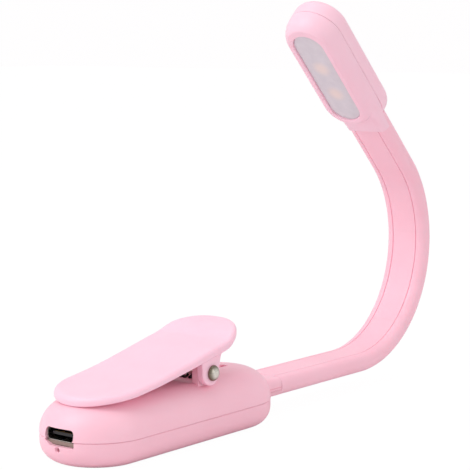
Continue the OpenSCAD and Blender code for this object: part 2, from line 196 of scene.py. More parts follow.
def apply_modifiers(target):
    bpy.context.view_layer.update()
    shown = target.evaluated_get(bpy.context.evaluated_depsgraph_get())
    made = bpy.data.meshes.new_from_object(shown)
    target.modifiers.clear()
    old = target.data
    target.data = made
    bpy.data.meshes.remove(old)


def shade(target, angle=32):
    """Smooth shading that keeps edges sharper than angle."""
    bm = bmesh.new()
    bm.from_mesh(target.data)
    bmesh.ops.remove_doubles(bm, verts=bm.verts, dist=2e-6)
    for face in bm.faces:
        face.smooth = True
    for edge in bm.edges:
        edge.smooth = len(edge.link_faces) == 2 and edge.calc_face_angle(0) < math.radians(angle)
    bm.to_mesh(target.data)
    bm.free()
    weigh = target.modifiers.new("weigh", "WEIGHTED_NORMAL")
    weigh.keep_sharp = True
    apply_modifiers(target)
    return target


def stadium(half, r, z, arc=28, side=10):
    """An outline with round ends: half is from the middle to each end's centre, r is the ends' radius."""
    points = []
    for end in (1, -1):
        for i in range(arc + 1):
            a = math.pi * (i / arc - 0.5)
            points.append((end * (half + r * math.cos(a)), end * r * math.sin(a), z))
        for i in range(1, side):
            points.append((end * half * (1 - 2 * i / side), end * r, z))
    return points


def quarter(n, power=2.0):
    """Steps round a quarter of a superellipse: (1, 0) to (0, 1)."""
    steps = []
    for i in range(n + 1):
        a = math.pi / 2 * i / n
        steps.append((max(math.cos(a), 0) ** (2 / power), math.sin(a) ** (2 / power)))
    return steps


def pill(name, l, w, profile, place=None):
    """A block with round ends: profile is (inset, height) from its lowest middle round to its top."""
    rings = [stadium(l / 2 - w / 2, w / 2 - inset, z) for inset, z in profile]
    return loft(name, rings, place=place)


def round_rect(w, t, r, steps=7, grooves=(), side_grooves=(), depth=0.3, open_w=0.17):
    """A section with w along Y and t along the inner direction, from the inner face round.

    grooves are places along Y in the inner face, and side_grooves are heights on both sides.
    """
    floor_y = 1 - 2 * depth / w
    points = []
    for sy, sn, first in ((-1, 1, 90), (-1, -1, 180), (1, -1, 270), (1, 1, 0)):
        for i in range(steps + 1):
            a = math.radians(first + 90 * i / steps)
            points.append((sy * (w / 2 - r) + r * math.cos(a), sn * (t / 2 - r) + r * math.sin(a)))
        if first == 180:
            points += [(w * f, -t / 2) for f in (-0.2, 0, 0.2)]
        side = w / 2 if first == 270 else -w / 2
        if first in (90, 270):
            d = -1 if first == 90 else 1
            for n in sorted(side_grooves, reverse=first == 90):
                points += [(side, n - d * open_w), (side * floor_y, n - d * 0.04),
                           (side * floor_y, n + d * 0.04), (side, n + d * open_w)]
        if first == 0:
            for y in sorted(grooves, reverse=True):
                points += [(y + open_w, t / 2), (y + 0.05, t / 2 - depth),
                           (y - 0.05, t / 2 - depth), (y - open_w, t / 2)]
    return points


def neck_ring(s, section):
    """A section across the neck, drawn as (across, towards the inner face)."""
    at, _, inward = on_neck(s)
    return [at + np.array([0, y, 0]) + inward * n for y, n in section]


def prism(name, outline, y_from, y_to, bevel=0.0):
    """An outline in X and Z carried along Y, with the edges of its two ends bevelled."""
    pts = np.array(outline, float)
    before, after = np.roll(pts, 1, 0), np.roll(pts, -1, 0)
    tangent = after - before
    tangent /= np.linalg.norm(tangent, axis=1)[:, None]
    normal = np.stack([tangent[:, 1], -tangent[:, 0]], 1)
    area = 0.5 * np.sum(pts[:, 0] * after[:, 1] - after[:, 0] * pts[:, 1])
    normal *= np.sign(area)
    steps = [(0.0, 0.0)]
    if bevel:
        steps = [(bevel * (1 - s), bevel * (1 - c)) for c, s in quarter(4)]
    rings = []
    for inset, up in steps:
        ring = pts - normal * inset
        rings.append([(x, y_from + up, z) for x, z in ring])
    for inset, up in reversed(steps):
        ring = pts - normal * inset
        rings.append([(x, y_to - up, z) for x, z in ring])
    return loft(name, rings)


def lathe(name, profile, place, turns=40):
    """A round solid from (radius, height) points, bottom middle to top middle."""
    rings = []
    for r, h in profile:
        rings.append([(r * math.cos(2 * math.pi * i / turns), r * math.sin(2 * math.pi * i / turns), h)
                      for i in range(turns)])
    return loft(name, rings, place=place)


def along_y(x, z):
    """Places a lathe's solid with its axis along Y."""
    return lambda p: (x + p[0], p[2], z - p[1])


def along_x(y, z):
    """Places a lathe's solid with its axis along X."""
    return lambda p: (p[2], y + p[0], z + p[1])


def upright(x, y):
    """Places a lathe's solid with its axis along Z."""
    return lambda p: (x + p[0], y + p[1], p[2])


def tube(name, points, r, sides=12):
    """A round wire along a list of points, whose rings don't twist."""
    pts = np.array(points, float)
    rings = []
    up = np.array([0, 0, 1.0])
    for i in range(len(pts)):
        d = pts[min(i + 1, len(pts) - 1)] - pts[max(i - 1, 0)]
        d /= np.linalg.norm(d)
        side = np.cross(d, up)
        if np.linalg.norm(side) < 1e-3:
            side = np.cross(d, np.array([1.0, 0, 0]))
        side /= np.linalg.norm(side)
        up = np.cross(side, d)
        rings.append([pts[i] + r * (math.cos(2 * math.pi * k / sides) * side
                                    + math.sin(2 * math.pi * k / sides) * up) for k in range(sides)])
    return loft(name, rings)


def smooth_line(points, x):
    """Height at x on a smooth curve through points (x, height), with no overshoot."""
    xs = np.array([p[0] for p in points])
    zs = np.array([p[1] for p in points])
    slope = np.diff(zs) / np.diff(xs)
    m = np.concatenate([[slope[0]], (slope[1:] + slope[:-1]) / 2, [slope[-1]]])
    i = int(np.clip(np.searchsorted(xs, x) - 1, 0, len(xs) - 2))
    h = xs[i + 1] - xs[i]
    t = (x - xs[i]) / h
    return ((2 * t ** 3 - 3 * t ** 2 + 1) * zs[i] + (t ** 3 - 2 * t ** 2 + t) * h * m[i]
            + (-2 * t ** 3 + 3 * t ** 2) * zs[i + 1] + (t ** 3 - t ** 2) * h * m[i + 1])


# ---------------------------------------------------------------- materials

def nodes_of(name):
    """A new material, its node tree, its shader and its texture coordinates."""
    m = bpy.data.materials.new(name)
    m.use_nodes = True
    tree = m.node_tree
    shader = tree.nodes["Principled BSDF"]
    where = tree.nodes.new("ShaderNodeTexCoord")
    return m, tree, shader, where


def noise(tree, where, scale, detail=3.0):
    n = tree.nodes.new("ShaderNodeTexNoise")
    n.inputs["Scale"].default_value = scale
    n.inputs["Detail"].default_value = detail
    tree.links.new(where.outputs["Object"], n.inputs["Vector"])
    return n


def between(tree, factor, low, high):
    """A value that follows factor between low and high."""
    r = tree.nodes.new("ShaderNodeMapRange")
    r.inputs["From Min"].default_value = 0.3
    r.inputs["From Max"].default_value = 0.7
    r.inputs["To Min"].default_value = low
    r.inputs["To Max"].default_value = high
    tree.links.new(factor, r.inputs["Value"])
    return r.outputs["Result"]


def tint(tree, factor, a, b):
    mix = tree.nodes.new("ShaderNodeMix")
    mix.data_type = "RGBA"
    mix.inputs["A"].default_value = (*a, 1)
    mix.inputs["B"].default_value = (*b, 1)
    tree.links.new(factor, mix.inputs["Factor"])
    return mix.outputs["Result"]


def bump(tree, shader, height, strength, distance):
    b = tree.nodes.new("ShaderNodeBump")
    b.inputs["Strength"].default_value = strength
    b.inputs["Distance"].default_value = distance
    tree.links.new(height, b.inputs["Height"])
    tree.links.new(b.outputs["Normal"], shader.inputs["Normal"])


def srgb(r, g, b):
    return tuple(v / 12.92 if v <= 0.04045 else ((v + 0.055) / 1.055) ** 2.4
                 for v in (r / 255, g / 255, b / 255))


def plastic(name, colour, rough=(0.36, 0.46), grain=5200, strength=0.05, soft=0.1, metallic=0.0):
    """Moulded plastic: a fine spark-eroded grain, a slow drift of tone and of gloss."""
    m, tree, shader, where = nodes_of(name)
    slow = noise(tree, where, 90, 2)
    fine = noise(tree, where, grain, 2)
    darker = tuple(c * k for c, k in zip(colour, (0.985, 0.96, 0.965)))
    tree.links.new(tint(tree, between(tree, slow.outputs["Fac"], 0, 1), colour, darker),
                   shader.inputs["Base Color"])
    tree.links.new(between(tree, slow.outputs["Fac"], *rough), shader.inputs["Roughness"])
    bump(tree, shader, fine.outputs["Fac"], strength, 0.00004)
    shader.inputs["Metallic"].default_value = metallic
    if soft:
        shader.inputs["Subsurface Weight"].default_value = soft
        shader.inputs["Subsurface Radius"].default_value = (1.0, 0.35, 0.4)
        shader.inputs["Subsurface Scale"].default_value = 0.0015
    return m


def metal(name, colour, rough=(0.2, 0.34), brushed=(1, 1, 1), scale=700, strength=0.08):
    """Worked metal: streaks along the direction that brushed is small in."""
    m, tree, shader, where = nodes_of(name)
    stretch = tree.nodes.new("ShaderNodeMapping")
    stretch.inputs["Scale"].default_value = brushed
    tree.links.new(where.outputs["Object"], stretch.inputs["Vector"])
    streak = noise(tree, where, scale, 4)
    tree.links.new(stretch.outputs["Vector"], streak.inputs["Vector"])
    darker = tuple(c * 0.82 for c in colour)
    tree.links.new(tint(tree, between(tree, streak.outputs["Fac"], 0, 1), colour, darker),
                   shader.inputs["Base Color"])
    tree.links.new(between(tree, streak.outputs["Fac"], *rough), shader.inputs["Roughness"])
    bump(tree, shader, streak.outputs["Fac"], strength, 0.00003)
    shader.inputs["Metallic"].default_value = 1.0
    return m


def paint_pin_rim_shade(m):
    """Paints shade on the pin's metal away from its axis: a painted dark reflection round the rims of its
    domed heads.
    """
    tree = m.node_tree
    shader = tree.nodes["Principled BSDF"]
    where = tree.nodes["Texture Coordinate"]
    flat = tree.nodes.new("ShaderNodeVectorMath")
    flat.operation = "MULTIPLY"
    flat.inputs[1].default_value = (1, 0, 1)
    tree.links.new(where.outputs["Object"], flat.inputs[0])
    out = tree.nodes.new("ShaderNodeVectorMath")
    out.operation = "DISTANCE"
    out.inputs[1].default_value = (pin_x * MM, 0, pin_z * MM)
    tree.links.new(flat.outputs["Vector"], out.inputs[0])
    edge = tree.nodes.new("ShaderNodeMapRange")
    edge.interpolation_type = "SMOOTHSTEP"
    edge.inputs["From Min"].default_value = 0.7 * MM
    edge.inputs["From Max"].default_value = 2.0 * MM
    tree.links.new(out.outputs["Value"], edge.inputs["Value"])
    mix = tree.nodes.new("ShaderNodeMix")
    mix.data_type = "RGBA"
    # painted shade: the dark brown given to the heads' rims
    mix.inputs["B"].default_value = (*srgb(122, 112, 96), 1)
    tree.links.new(shader.inputs["Base Color"].links[0].from_socket, mix.inputs["A"])
    tree.links.new(edge.outputs["Result"], mix.inputs["Factor"])
    tree.links.new(mix.outputs["Result"], shader.inputs["Base Color"])


pink_upper = plastic("pink_upper", srgb(255, 200, 215))
pink_lower = plastic("pink_lower", srgb(254, 198, 213))
pink_clip = plastic("pink_clip", srgb(255, 206, 223), rough=(0.34, 0.42))
pink_head = plastic("pink_head", srgb(255, 208, 223))
pink_neck = plastic("pink_neck", srgb(255, 199, 214), rough=(0.42, 0.52), grain=3600, strength=0.08,
                    soft=0.16)
pink_rubber = plastic("pink_rubber", srgb(236, 160, 178), rough=(0.6, 0.72), grain=2600, strength=0.2)
black_plastic = plastic("black_plastic", srgb(26, 24, 26), rough=(0.3, 0.42), soft=0)
steel = metal("pin_steel", srgb(232, 228, 218), rough=(0.12, 0.2), scale=900, strength=0.04)
# the pin's heads get painted shade round their rims
paint_pin_rim_shade(steel)
# dark spring steel, made darker still with painted shade, as the coil lies in shade under the clip
spring_steel = metal("spring_steel", srgb(58, 48, 48), rough=(0.42, 0.52), scale=1500)
port_steel = metal("port_steel", srgb(176, 168, 162), rough=(0.22, 0.34), brushed=(0.15, 1, 1),
                   scale=2600)
screw_steel = metal("screw_steel", srgb(196, 196, 198), scale=1800)
core_metal = metal("core_metal", srgb(206, 206, 208), brushed=(0.1, 1, 1), scale=1600)
gold = metal("contact_gold", srgb(226, 178, 92), rough=(0.2, 0.3), scale=2400)
foil = metal("cell_foil", srgb(205, 208, 212), rough=(0.26, 0.4), scale=320, strength=0.3)
board_tan = plastic("board_tan", srgb(150, 132, 122), rough=(0.4, 0.5), grain=2400, soft=0)
foam_dark = plastic("foam_dark", srgb(58, 56, 58), rough=(0.8, 0.95), grain=1800, strength=0.5, soft=0)
lead_red = plastic("lead_red", srgb(190, 40, 38), soft=0)
lead_white = plastic("lead_white", srgb(226, 224, 222), soft=0)
white_plastic = plastic("white_plastic", srgb(242, 242, 240), rough=(0.2, 0.3), soft=0)
phosphor = plastic("phosphor", srgb(250, 226, 150), rough=(0.3, 0.4), soft=0)
pipe_red = plastic("pipe_red", srgb(150, 52, 56), rough=(0.15, 0.25), soft=0)


def diffuser():
    """Milky sheet, with painted light: two pale warm patches in its colour where the light chips lie behind
    it and show through.
    """
    m, tree, shader, where = nodes_of("milky_diffuser")
    mottle = noise(tree, where, 420, 4)
    colour = tint(tree, between(tree, mottle.outputs["Fac"], 0, 1),
                  srgb(219, 212, 218), srgb(212, 205, 212))
    # painted light: each chip's show-through as a pale warm patch on the sheet
    for u in (head_l / 2 + chip_u, head_l / 2 - chip_u):
        spot = in_head((u, 0, lens_top)) * MM
        apart = tree.nodes.new("ShaderNodeVectorMath")
        apart.operation = "DISTANCE"
        apart.inputs[1].default_value = spot
        tree.links.new(where.outputs["Object"], apart.inputs[0])
        near = tree.nodes.new("ShaderNodeMapRange")
        near.interpolation_type = "SMOOTHSTEP"
        near.inputs["From Min"].default_value = 0.0006
        near.inputs["From Max"].default_value = 0.0036
        near.inputs["To Min"].default_value = 0.7
        near.inputs["To Max"].default_value = 0.0
        tree.links.new(apart.outputs["Value"], near.inputs["Value"])
        mix = tree.nodes.new("ShaderNodeMix")
        mix.data_type = "RGBA"
        mix.inputs["B"].default_value = (*srgb(240, 218, 210), 1)
        tree.links.new(colour, mix.inputs["A"])
        tree.links.new(near.outputs["Result"], mix.inputs["Factor"])
        colour = mix.outputs["Result"]
    tree.links.new(colour, shader.inputs["Base Color"])
    tree.links.new(between(tree, mottle.outputs["Fac"], 0.34, 0.42), shader.inputs["Roughness"])
    bump(tree, shader, noise(tree, where, 3000, 2).outputs["Fac"], 0.06, 0.00004)
    shader.inputs["Subsurface Weight"].default_value = 0.2
    shader.inputs["Subsurface Radius"].default_value = (1.0, 1.0, 1.0)
    shader.inputs["Subsurface Scale"].default_value = 0.0012
    return m


milky = diffuser()


def finish_piece(piece, material, angle=32):
    """Shades a piece and gives it its material."""
    shade(piece, angle)
    piece.data.materials.clear()
    piece.data.materials.append(material)
    return piece


# ---------------------------------------------------------------- base casing

def base_profile(inset):
    """Lowest middle to the top middle, inset from the outside."""
    r = base_w / 2 - inset
    b, s = bottom_r - inset, shoulder_r - inset
    low, high = inset, base_h - inset
    points = [(r * 0.6, low)]
    points += [(b - b * c, low + b - b * c2) for c, c2 in reversed(quarter(10))]
    points += [(0, low + b + f * (high - s - low - b)) for f in (0.35, 0.7)]
    points += [(s - s * c, high - s + s * c2) for c, c2 in quarter(18)]
    points += [(r * 0.7, high)]
    return points


def half_of_base(name, low, high, trim=0.0):
    """The solid between two heights, drawn in by trim, with its edge at the seam eased."""
    whole = base_profile(0)
    if low > 0:
        profile = [(seam_ease, low), (0.0, low + seam_ease)] + [p for p in whole if p[1] > low + 0.2]
    else:
        profile = [p for p in whole if p[1] < high - 0.2] + [(0.0, high - seam_ease), (seam_ease, high)]
    return pill(name, base_l - 2 * trim, base_w - 2 * trim, profile)


def base_core(name):
    """The room inside the base."""
    return pill(name, base_l - 2 * wall, base_w - 2 * wall, base_profile(wall))


def slot_outline(w, h, r, n=8):
    """A flat opening's outline, along Y and Z, with corners of radius r."""
    points = []
    for sy, sz, first in ((1, -1, 270), (1, 1, 0), (-1, 1, 90), (-1, -1, 180)):
        for i in range(n + 1):
            a = math.radians(first + 90 * i / n)
            points.append((sy * (w / 2 - r) + r * math.cos(a), sz * (h / 2 - r) + r * math.sin(a)))
    return points


def through_x(name, outline, z, stations):
    """A cutter along X: stations are (x, growth) pairs."""
    rings = []
    for x, grow in stations:
        ring = []
        for y, h in outline:
            length = math.hypot(y, h)
            ring.append((x, y * (1 + grow / length), z + h * (1 + grow / length)))
        rings.append(ring)
    return loft(name, rings)


def port_cutter(name):
    """The socket's opening in the base's end, with its edge eased."""
    return through_x(name, slot_outline(port_w + 0.3, port_h + 0.1, 1.3), port_z,
                     [(front - 2, 0.3), (front - 0.1, 0.3), (front + 0.25, 0.0), (front + 5, 0.0)])


def ledge_cutter(name):
    """The opening's lower part, where the board's edge shows. One lower corner of it is slanted."""
    w, low, high = port_w / 2 + 0.25, board_low[2] - 0.12, port_z
    outline = [(-w, low + 0.15), (-w + 0.15, low), (w - 2.2, low), (w, low + 0.9), (w, high), (-w, high)]
    return loft(name, [[(x, y, z) for y, z in outline] for x in (front - 2, front + 5)])


def neck_cutter(name):
    """The neck's way out of the base's end, which opens a little at its mouth."""
    section = round_rect(neck_w + 0.36, neck_t + 0.5, 2.0)
    end = base_l / 2
    rings = []
    for x, grow in ((end - 6, 0), (end - 0.25, 0), (end + 0.2, 0.4), (end + 2, 0.4)):
        wider, thicker = 1 + grow / neck_w, 1 + grow / neck_t
        rings.append([(x, y * wider, neck_z + n * thicker) for y, n in section])
    return loft(name, rings)


def lower_casing():
    """The lower half, with its four screw wells and the hole of the state light."""
    lower = half_of_base("lower_casing", 0, seam - seam_gap, trim=0.08)
    cut(lower, base_core("core_a"), port_cutter("port_a"), ledge_cutter("ledge_a"), neck_cutter("neck_a"))
    screw_low, screw_high = node_box("casing_screws")
    screw_r, screw_y = 1.8, 8
    for x in (screw_low[0] + screw_r, screw_high[0] - screw_r):
        for y in (-screw_y, screw_y):
            cut(lower, lathe("boss", [(2.3, 0.6), (2.3, 6.2)], upright(x, y)), how="UNION")
            well = [(2.45, -1), (2.45, 0), (2.0, 0.3), (2.0, 2.2), (1.1, 2.2), (1.1, 7)]
            cut(lower, lathe("well", well, upright(x, y)))
    hole = lathe("hole", [(0.8, front - 1), (0.8, front + 0.3), (0.55, front + 0.6), (0.55, front + 4)],
                 along_x(0, (pipe_low[2] + pipe_high[2]) / 2))
    cut(lower, hole)
    finish_piece(lower, pink_lower)
    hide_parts("base_lower_casing")
    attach(lower, "base")


def lug_outline():
    """A lug from inside the base's top round the pin."""
    low = base_h - 0.9
    points = [(pin_x + lug_r, low)]
    points += [(pin_x + lug_r * math.cos(a), pin_z + lug_r * math.sin(a))
               for a in np.linspace(0, math.pi * 0.9, 22)]
    points += [(pin_x - lug_r + 0.1, pin_z + 0.3), (pin_x - lug_r - 0.05, pin_z - 0.6),
               (pin_x - lug_r - 0.05, low)]
    return points


def sunk_outline(x_from, x_to):
    """A cutter's outline that reaches 1 below the base's top."""
    low, high = base_h - 1, base_h + 1
    return [(x_from, low), (x_to, low), (x_to, high), (x_from, high)]


def on_side(name, outline, side, near, far, bevel):
    """A prism between two distances from the middle, on the side that side says."""
    return prism(name, outline, min(side * near, side * far), max(side * near, side * far), bevel)


def upper_casing():
    """The upper half, with the pin's two lugs, the spring's pocket and a small slit behind it."""
    upper = half_of_base("upper_casing", seam, base_h)
    cut(upper, base_core("core_b"), port_cutter("port_b"), neck_cutter("neck_b"))
    for side in (-1, 1):
        cut(upper, on_side("lug", lug_outline(), side, lug_in, lug_out, 0.3), how="UNION")
    bore = lathe("bore", [(pin_r + 0.06, -11), (pin_r + 0.06, 11)], along_y(pin_x, pin_z))
    pocket = prism("pocket", sunk_outline(pin_x - 3.3, pin_x + 4.5), -lug_in + 0.5, lug_in - 0.5)
    slit = prism("slit", sunk_outline(22.6, 26.6), -1, 1)
    cut(upper, bore, pocket, slit)
    finish_piece(upper, pink_upper)
    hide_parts("base_upper_casing")
    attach(upper, "base")


# ---------------------------------------------------------------- clip lever

# heights of the plate's under side and upper side, as (x, z)
under_line = [(-33, 14.55), (-29, 15.45), (-13, 17.9), (9.5, 22.3), (13.2, 23.2), (17.5, 25.2),
              (23.4, 27.2)]
over_line = [(-33, 16.75), (-29, 17.35), (-13, 19.65), (8.6, 24.4), (13.2, 25.5), (17.5, 27.6),
             (23.4, 29.3)]
lever_low, lever_high = node_box("clip_lever")
clip_half = (lever_high[1] - lever_low[1]) / 2
clip_front, clip_rear = under_line[0][0], lever_high[0]
rear_r = 11.5


def lever_outline():
    """Pairs of a point on the plate's outline and the point on its middle line that it closes to."""
    pairs = []
    c = clip_front + clip_half
    d = clip_rear - rear_r
    for i in range(45):
        a = math.pi / 2 + math.pi * i / 44
        pairs.append(((c + clip_half * math.cos(a), clip_half * math.sin(a)), (c, 0)))
    for i in range(1, 24):
        x = c + (d - c) * i / 24
        pairs.append(((x, -clip_half), (x, 0)))
    for sy in (-1, 1):
        for i in range(19):
            a = math.pi / 2 * i / 18 - (math.pi / 2 if sy < 0 else 0)
            y = sy * (clip_half - rear_r) + rear_r * math.sin(a)
            pairs.append(((d + rear_r * math.cos(a), y), (d, 0)))
    for i in range(1, 24):
        x = d + (c - d) * i / 24
        pairs.append(((x, clip_half), (x, 0)))
    return pairs


def lever_plate():
    """The plate as rings from the middle of its under side, round its rim, to the middle of its top."""
    pairs = lever_outline()
    top_r, low_r, middle = 1.25, 0.3, 99

    def ring(inset, above_under=None, below_top=None):
        points = []
        for (px, py), (mx, my) in pairs:
            t = min(inset / math.hypot(px - mx, py - my), 1)
            x, y = px + (mx - px) * t, py + (my - py) * t
            if above_under is None:
                crown = 0.1 * (y / clip_half) ** 2
                points.append((x, y, smooth_line(over_line, x) - crown - below_top))
            else:
                points.append((x, y, smooth_line(under_line, x) + above_under))
        return points

    rings = [ring(inset, above_under=0) for inset in (middle, 8, 4, 1.5)]
    rings += [ring(low_r * (1 - c), above_under=low_r * (1 - s)) for c, s in reversed(quarter(4))]
    rings += [ring(top_r * (1 - c), below_top=top_r * (1 - s)) for c, s in quarter(8)]
    rings += [ring(inset, below_top=0) for inset in (1.5, 2.5, 4, 6, 8, 10, middle)]
    return loft("clip_plate", rings)


def under_plate(x, rise):
    """A point at x, rise above the plate's under side."""
    return x, smooth_line(under_line, x) + rise


def ear_outline():
    """An ear from the plate's under side round the pin, a tenth wider in front of it."""
    x, z = pin_x - 0.3, pin_z
    front_x, rear_x = x - ear_r, x + ear_r
    points = [under_plate(rear_x + 1.9, 0.5), under_plate(rear_x + 0.7, -0.5), (rear_x + 0.15, z + 2)]
    for a in np.linspace(0.1, -math.pi - 0.1, 30):
        wide = 1.1 if math.cos(a) < 0 else 1.0
        points.append((x + ear_r * math.cos(a) * wide, z + ear_r * math.sin(a)))
    points += [(front_x - 0.4, z + 2), under_plate(front_x - 0.9, 0.5)]
    return points


def clip_plate():
    """The clip plate with its two ears."""
    plate = lever_plate()
    for side in (-1, 1):
        cut(plate, on_side("ear", ear_outline(), side, ear_in, ear_out, 0.4), how="UNION")
    eye = lathe("eye", [(pin_r + 0.02, -14), (pin_r + 0.02, 14)], along_y(pin_x, pin_z))
    cut(plate, eye)
    finish_piece(plate, pink_clip)
    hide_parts("clip_lever")
    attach(plate, "lever")


def hinge_rivet():
    """The clip's pin, with a domed head at each end."""
    head_r, rim_h, dome_h = 2.05, 0.16, 1.14
    under_head = ear_out + 0.05
    one_end = [(head_r - 0.12, 0.0), (head_r, 0.12)]
    one_end += [(head_r * c, rim_h + dome_h * s) for c, s in quarter(14)[:-1]]
    profile = [(r, -under_head - h) for r, h in reversed(one_end)]
    profile += [(pin_r, -under_head), (pin_r, under_head)] + [(r, under_head + h) for r, h in one_end]
    rivet = lathe("hinge_rivet", profile, along_y(pin_x, pin_z), 56)
    finish_piece(rivet, steel, 40)
    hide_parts("hinge_pin")
    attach(rivet, "lever")


def torsion_coil():
    """The spring round the pin: its first leg lies on the base, its last under the plate."""
    coil_r, wire_r, turns, coil_half = 2.1, 0.35, 6, 4.2
    start_a, sweep, steps = -math.pi / 2, turns * 2 * math.pi + math.pi, turns * 28 + 14
    leg_z = base_h + wire_r
    coil = [(pin_x + 9, -coil_half, leg_z + 0.1), (pin_x + 5, -coil_half, leg_z + 0.1),
            (pin_x + 1.5, -coil_half, leg_z + 0.05)]
    for i in range(steps + 1):
        a = start_a + sweep * i / steps
        y = -coil_half + 2 * coil_half * (a - start_a) / sweep
        coil.append((pin_x + coil_r * math.cos(a), y, pin_z + coil_r * math.sin(a)))
    coil += [(pin_x + 3, coil_half, pin_z + 2.9), (pin_x + 6.5, coil_half, pin_z + 4.2)]
    spring = tube("torsion_coil", coil, wire_r)
    finish_piece(spring, spring_steel, 50)
    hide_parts("torsion_spring")
    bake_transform(spring)


# ---------------------------------------------------------------- neck

def neck_root():
    """The neck's root in the base's end, with two fine lines on each side."""
    lines = {"side_grooves": (-0.15, -1.15), "depth": 0.22, "open_w": 0.13}
    middle = round_rect(neck_w - 0.3, neck_t - 0.2, 1.8, **lines)
    end = round_rect(neck_w - 0.45, neck_t - 0.35, 1.7, **lines)
    rings = [neck_ring(collar_low[0] - bend_x, end)]
    for x in (collar_low[0] + 0.2, base_l / 2 - 1, base_l / 2 + 1.5, collar_x - 0.1):
        rings.append(neck_ring(x - bend_x, middle))
    rings.append(neck_ring(collar_x - bend_x, end))
    collar = loft("neck_root", rings)
    finish_piece(collar, pink_neck)
    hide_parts("neck_collar")
    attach(collar, "base")


# the skin's section outside, at the end that meets the root, and inside, each with the same points
groove_y = 4.07
two_grooves = {"grooves": (-groove_y, groove_y), "open_w": 0.16}
skin = round_rect(neck_w, neck_t - 0.02, 2.35, depth=0.32, **two_grooves)
skin_end = round_rect(neck_w - 0.24, neck_t - 0.24, 2.23, depth=0.2, **two_grooves)
inner = round_rect(10.4, 2.1, 0.5, depth=0.02, **two_grooves)


def skin_piece(name, s_from, s_to, covers, ease_start=False):
    """One stretch of the neck's skin, from s_from to s_to along the neck; it hides the CAD nodes named in
    covers.
    """
    step = pitch / 12
    count = max(2, int(round((s_to - s_from) / step)))
    stations = [s_from + (s_to - s_from) * i / count for i in range(count + 1)]
    outside = [neck_ring(s, skin) for s in stations]
    if ease_start:
        outside = [neck_ring(s_from, skin_end), neck_ring(s_from + 0.14, skin)] + outside[1:]
    inside = [neck_ring(s, inner) for s in reversed(stations)]
    piece = loft(name, outside + inside, wrap=True)
    finish_piece(piece, pink_neck, 28)
    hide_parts(*covers)
    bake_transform(piece)


def neck_skins():
    """The skin in eight stretches, one round each bend and a last one up into the head."""
    joint_places = [(k - 3) * pitch for k in range(1, 8)]
    edges = [collar_x - bend_x + 0.05] + [s + pitch / 2 for s in joint_places]
    for k in range(1, 8):
        skin_piece(f"neck_skin_{k}", edges[k - 1], edges[k],
                   [f"neck_sleeve_{k - 1}"], ease_start=k == 1)
    skin_piece("neck_skin_8", edges[7], head_s + 3,
               ["neck_sleeve_7", "neck_sleeve_8"])


# ---------------------------------------------------------------- lamp head

def head_place(p):
    """Pill coordinates, centred on the head, to the row frame."""
    return in_head((head_l / 2 + p[0], p[1], p[2]))


def trimmed(trim):
    """Places a pill that stops short of the neck end by trim."""
    return lambda p: head_place((p[0] + trim / 2, p[1], p[2]))


def lens_place(p):
    """Light window coordinates, centred on the window, to the row frame."""
    return head_place((p[0] + lens_u, p[1], p[2]))


def button_place(p):
    """Button coordinates, with its axis along the third, to the row frame."""
    return head_place((button_u + p[0], p[1], p[2]))


def front_profile():
    """From the seam up a bulging side to a crease round the flat lit face."""
    points = [(0.12, head_seam), (0.0, head_seam + 0.12), (0.0, head_seam + 0.6)]
    span_in, low, crease = 2.05, head_seam + 0.9, math.radians(68)
    for i in range(17):
        a = crease * i / 16
        inset = span_in * (1 - math.cos(a)) / (1 - math.cos(crease))
        points.append((inset, low + (head_front - 0.06 - low) * math.sin(a) / math.sin(crease)))
    points += [(span_in + 0.12, head_front - 0.012), (span_in + 0.3, head_front), (3.1, head_front)]
    return points


def rear_profile():
    """From the back's middle round its edge to the seam."""
    high = head_seam - seam_gap
    back_r = 3.3
    points = [(head_w * 0.3, -head_back)]
    points += [(back_r * (1 - c), -head_back + back_r * (1 - s)) for c, s in reversed(quarter(12))]
    points += [(0.0, high - 0.12), (0.12, high)]
    return points


def head_core(name, trim=0.0):
    """The room inside the head."""
    low, high = -head_back + 1.2, head_front - 1.2
    points = [(2.0, low), (0.6, low + 0.6), (0, low + 2.0), (0, 1.5)]
    points += [(2.4 * (1 - c), 1.5 + (high - 1.5) * s) for c, s in quarter(8, 2.3)]
    return pill(name, head_l - 2.4 - trim, head_w - 2.4, points, trimmed(trim))


def lens_cutter(name):
    """The light window's opening, with its edge eased at the lit face."""
    steps = ((0.3, 0.04), (head_front - 0.3, 0.04), (head_front - 0.1, 0.1), (head_front, 0.26),
             (head_front + 2, 0.26))
    rings = [stadium(lens_l / 2 - lens_w / 2, lens_w / 2 + grow, z) for z, grow in steps]
    return loft(name, rings, place=lens_place)


def neck_slot(name):
    """The neck's way into the head, up to the end of its skin."""
    section = round_rect(neck_w + 0.14, neck_t + 0.12, 2.38)
    return loft(name, [[in_head((u, y, n)) for y, n in section] for u in (-6, 3.05)])


def saddle(name):
    """The bezel's lower end, which narrows and thins out over the neck."""
    # place along the head, half width, height and the radius of the upper edges
    table = [(-1.75, 6.98, 2.88, 1.8), (-1.6, 7.03, 2.94, 2.0), (-0.5, 7.05, 3.0, 2.2),
             (2, 7.16, 3.35, 2.4), (5, 7.78, 4.1, 2.9), (8, 8.33, 4.9, 3.2), (11, 8.38, 5.7, 3.2),
             (13, 8.38, 5.9, 3.0)]
    bottom, side = head_seam - 0.01, head_seam + 0.17
    rings = []
    for u, half, top, r in table:
        fall = min(r * 1.5, top - head_seam - 0.3)
        edge = [(half - r + r * c, top - fall * (1 - s)) for c, s in quarter(8, 2.2)]
        ring = [(0.2 - half, bottom), (half - 0.2, bottom), (half, side)] + edge
        ring += [((half - r) * f, top) for f in (0.5, 0.0, -0.5)]
        ring += [(-y, n) for y, n in reversed(edge)] + [(-half, side)]
        rings.append([in_head((u, y, n)) for y, n in ring])
    return loft(name, rings)


